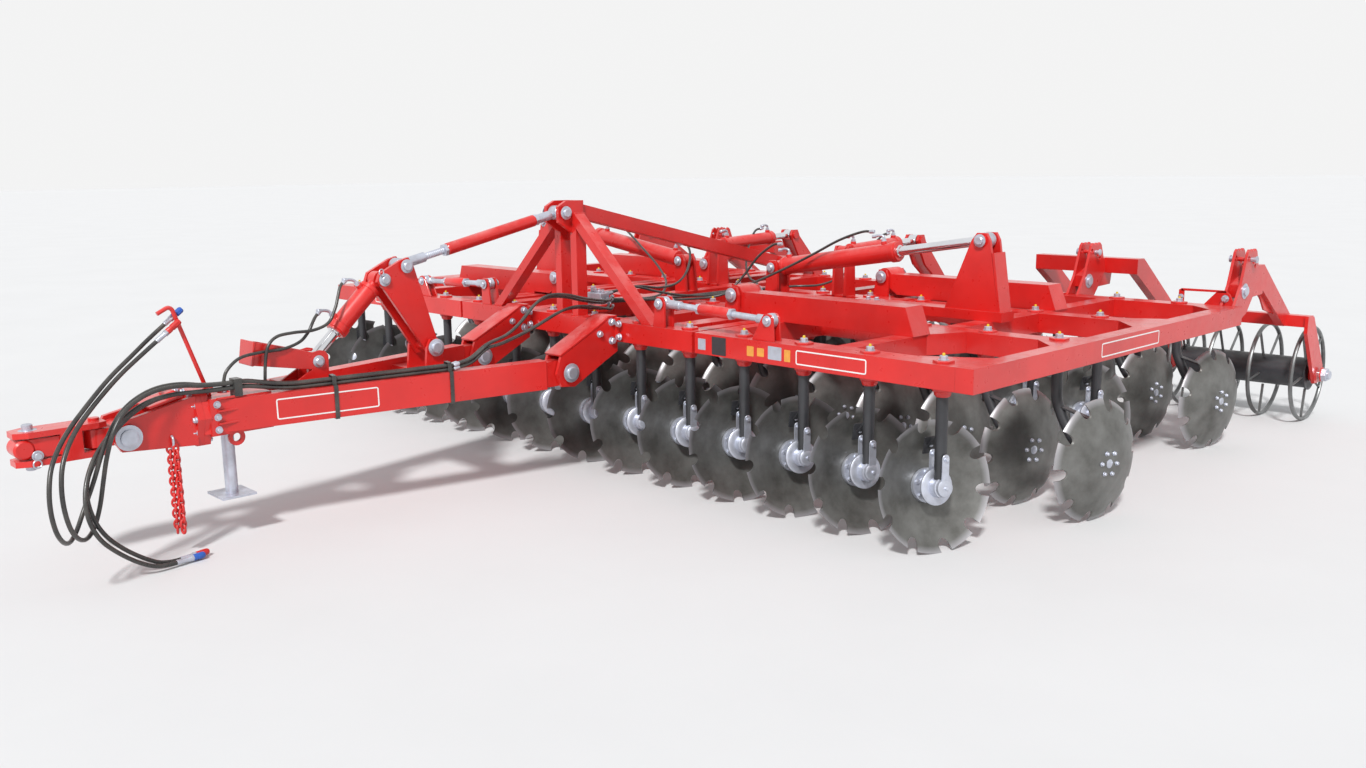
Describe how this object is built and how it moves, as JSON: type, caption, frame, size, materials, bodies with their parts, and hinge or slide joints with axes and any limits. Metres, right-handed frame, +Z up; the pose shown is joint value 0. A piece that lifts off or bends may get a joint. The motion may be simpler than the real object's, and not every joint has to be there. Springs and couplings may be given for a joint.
{
  "type": "trailed disc harrow",
  "caption": "Trailed disc harrow with rows of notched discs, folding wings, cage rollers and an adjustable drawbar.",
  "frame": {"origin": "on the ground, under the middle of the machine's overall box", "axes": "+Z up, -Y forwards to the tractor, +X to the machine's left wing"},
  "size_m": [6.3649, 8.0449, 1.68],
  "materials": {
    "red_paint": "gloss paint, dusty",
    "dark_paint": "satin dark grey paint",
    "disc_steel": "worn bare steel",
    "chrome": "polished rods",
    "zinc": "zinc plated",
    "tyre": "black rubber",
    "hose_rubber": "smooth black hose"
  },
  "bodies": {
    "frame": {"centre_row_beams": "red_paint", "centre_long_beams": "red_paint", "centre_legs": "dark_paint", "centre_discs": "disc_steel", "hinge_lugs": "red_paint", "tower": "red_paint", "drawbar_brackets": "red_paint", "axle_brackets": "red_paint"},
    "left_wing": {"left_wing_row_beams": "red_paint", "left_wing_long_beams": "red_paint", "left_wing_gussets": "red_paint", "left_wing_legs": "dark_paint", "left_wing_discs": "disc_steel", "left_fold_arms": "red_paint", "left_fold_bracket": "red_paint", "left_turnbuckle": "red_paint", "left_roller_arms": "red_paint", "left_roller_brackets": "red_paint"},
    "right_wing": {"right_wing_row_beams": "red_paint", "right_wing_long_beams": "red_paint", "right_wing_gussets": "red_paint", "right_wing_legs": "dark_paint", "right_wing_discs": "disc_steel", "right_fold_arms": "red_paint", "right_fold_bracket": "red_paint", "right_turnbuckle": "red_paint", "right_roller_arms": "red_paint", "right_roller_brackets": "red_paint"},
    "left_roller": {"left_roller": "dark_paint"},
    "right_roller": {"right_roller": "dark_paint"},
    "left_fold_barrel": {"left_fold_barrel": "red_paint"},
    "left_fold_rod": {"left_fold_rod": "chrome"},
    "right_fold_barrel": {"right_fold_barrel": "red_paint"},
    "right_fold_rod": {"right_fold_rod": "chrome"},
    "drawbar": {"drawbar": "red_paint", "drawbar_head": "red_paint", "hose_holder": "red_paint", "hose_bundle": "hose_rubber", "free_hose_1": "hose_rubber", "free_hose_2": "hose_rubber", "free_hose_3": "hose_rubber", "free_hose_4": "hose_rubber", "hose_couplers": "zinc"},
    "lever": {"lever": "red_paint"},
    "top_link": {"top_link": "red_paint"},
    "ram_barrel": {"ram_barrel": "red_paint"},
    "ram_rod": {"ram_rod": "chrome"},
    "hitch_cross": {"hitch_cross": "red_paint"},
    "hitch_yoke": {"hitch_yoke": "red_paint"},
    "jack_leg": {"jack_leg": "zinc"},
    "axle": {"axle_frame": "red_paint"},
    "left_wheel": {"left_tyre": "tyre", "left_rim": "red_paint"},
    "right_wheel": {"right_tyre": "tyre", "right_rim": "red_paint"},
    "lift_barrels": {"lift_barrels": "red_paint"},
    "lift_rods": {"lift_rods": "chrome"}
  },
  "joints": [
    {"name": "left_wing_fold", "type": "hinge", "parent": "frame", "child": "left_wing", "pos_m": [0.9, -0.045, 1.09], "axis": [0, -1, 0], "range_deg": [0, 90]},
    {"name": "left_fold_cylinder_swing", "type": "hinge", "parent": "frame", "child": "left_fold_barrel", "pos_m": [0.47, 0.765, 1.18], "axis": [0, -1, 0], "range_deg": [0, 77.22]},
    {"name": "left_fold_cylinder_stroke", "type": "slide", "parent": "left_fold_barrel", "child": "left_fold_rod", "axis": [0.9888, 0, 0.1489], "range_m": [-0.5372, 0]},
    {"name": "left_roller_spin", "type": "hinge", "parent": "left_wing", "child": "left_roller", "pos_m": [2.12, 3.665, 0.35], "axis": [1, 0, 0], "continuous": true},
    {"name": "left_wheel_spin", "type": "hinge", "parent": "axle", "child": "left_wheel", "pos_m": [0.66, 3.495, 0.4], "axis": [1, 0, 0], "continuous": true},
    {"name": "right_wing_fold", "type": "hinge", "parent": "frame", "child": "right_wing", "pos_m": [-0.9, -0.045, 1.09], "axis": [0, 1, 0], "range_deg": [0, 90]},
    {"name": "right_fold_cylinder_swing", "type": "hinge", "parent": "frame", "child": "right_fold_barrel", "pos_m": [-0.47, 0.765, 1.18], "axis": [0, 1, 0], "range_deg": [0, 77.22]},
    {"name": "right_fold_cylinder_stroke", "type": "slide", "parent": "right_fold_barrel", "child": "right_fold_rod", "axis": [-0.9888, 0, 0.1489], "range_m": [-0.5372, 0]},
    {"name": "right_roller_spin", "type": "hinge", "parent": "right_wing", "child": "right_roller", "pos_m": [-2.12, 3.665, 0.35], "axis": [1, 0, 0], "continuous": true},
    {"name": "right_wheel_spin", "type": "hinge", "parent": "axle", "child": "right_wheel", "pos_m": [-0.66, 3.495, 0.4], "axis": [1, 0, 0], "continuous": true},
    {"name": "drawbar_pitch", "type": "hinge", "parent": "frame", "child": "drawbar", "pos_m": [0, -1.165, 0.685], "axis": [-1, 0, 0], "range_deg": [-6, 10]},
    {"name": "lever_swing", "type": "hinge", "parent": "drawbar", "child": "lever", "pos_m": [0, -1.822, 0.871], "axis": [-1, 0, 0], "range_deg": [-16.94, 10.2]},
    {"name": "top_link_swing", "type": "hinge", "parent": "frame", "child": "top_link", "pos_m": [0, -0.816, 1.605], "axis": [-1, 0, 0], "range_deg": [-2.92, 4.81]},
    {"name": "ram_swing", "type": "hinge", "parent": "lever", "child": "ram_barrel", "pos_m": [0, -2.1, 1.28], "axis": [-1, 0, 0], "range_deg": [-9.43, 15.64]},
    {"name": "ram_stroke", "type": "slide", "parent": "ram_barrel", "child": "ram_rod", "axis": [0, -0.723, -0.6908], "range_m": [-0.1445, 0.0871]},
    {"name": "hitch_pitch", "type": "hinge", "parent": "drawbar", "child": "hitch_cross", "pos_m": [0, -3.548, 0.637], "axis": [-1, 0, 0], "range_deg": [-20, 20]},
    {"name": "hitch_yaw", "type": "hinge", "parent": "hitch_cross", "child": "hitch_yoke", "pos_m": [0, -3.653, 0.637], "axis": [0, 0, 1], "range_deg": [-35, 35]},
    {"name": "jack_slide", "type": "slide", "parent": "drawbar", "child": "jack_leg", "axis": [0, 0, 1], "range_m": [-0.12, 0.18]},
    {"name": "axle_swing", "type": "hinge", "parent": "frame", "child": "axle", "pos_m": [0, 2.495, 0.86], "axis": [1, 0, 0], "range_deg": [-33, 0]},
    {"name": "lift_cylinder_swing", "type": "hinge", "parent": "frame", "child": "lift_barrels", "pos_m": [0, 1.295, 1.262], "axis": [1, 0, 0], "range_deg": [-0.1, 4.51]},
    {"name": "lift_cylinder_stroke", "type": "slide", "parent": "lift_barrels", "child": "lift_rods", "axis": [0, 0.9991, 0.0431], "range_m": [-0.001, 0.2999]}
  ],
  "couplings": [
    {"joint": "left_fold_cylinder_swing", "follows": "left_wing_fold", "ratio": 0.85468},
    {"joint": "left_fold_cylinder_stroke", "follows": "left_wing_fold", "m_per_rad": -0.3407},
    {"joint": "right_fold_cylinder_swing", "follows": "right_wing_fold", "ratio": 0.85468},
    {"joint": "right_fold_cylinder_stroke", "follows": "right_wing_fold", "m_per_rad": -0.3407},
    {"joint": "lever_swing", "follows": "drawbar_pitch", "ratio": -1.6838},
    {"joint": "top_link_swing", "follows": "drawbar_pitch", "ratio": 0.47056},
    {"joint": "ram_swing", "follows": "drawbar_pitch", "ratio": 1.5542},
    {"joint": "ram_stroke", "follows": "drawbar_pitch", "m_per_rad": -0.82204},
    {"joint": "lift_cylinder_swing", "follows": "axle_swing", "ratio": -0.13352},
    {"joint": "lift_cylinder_stroke", "follows": "axle_swing", "m_per_rad": -0.51903}
  ]
}
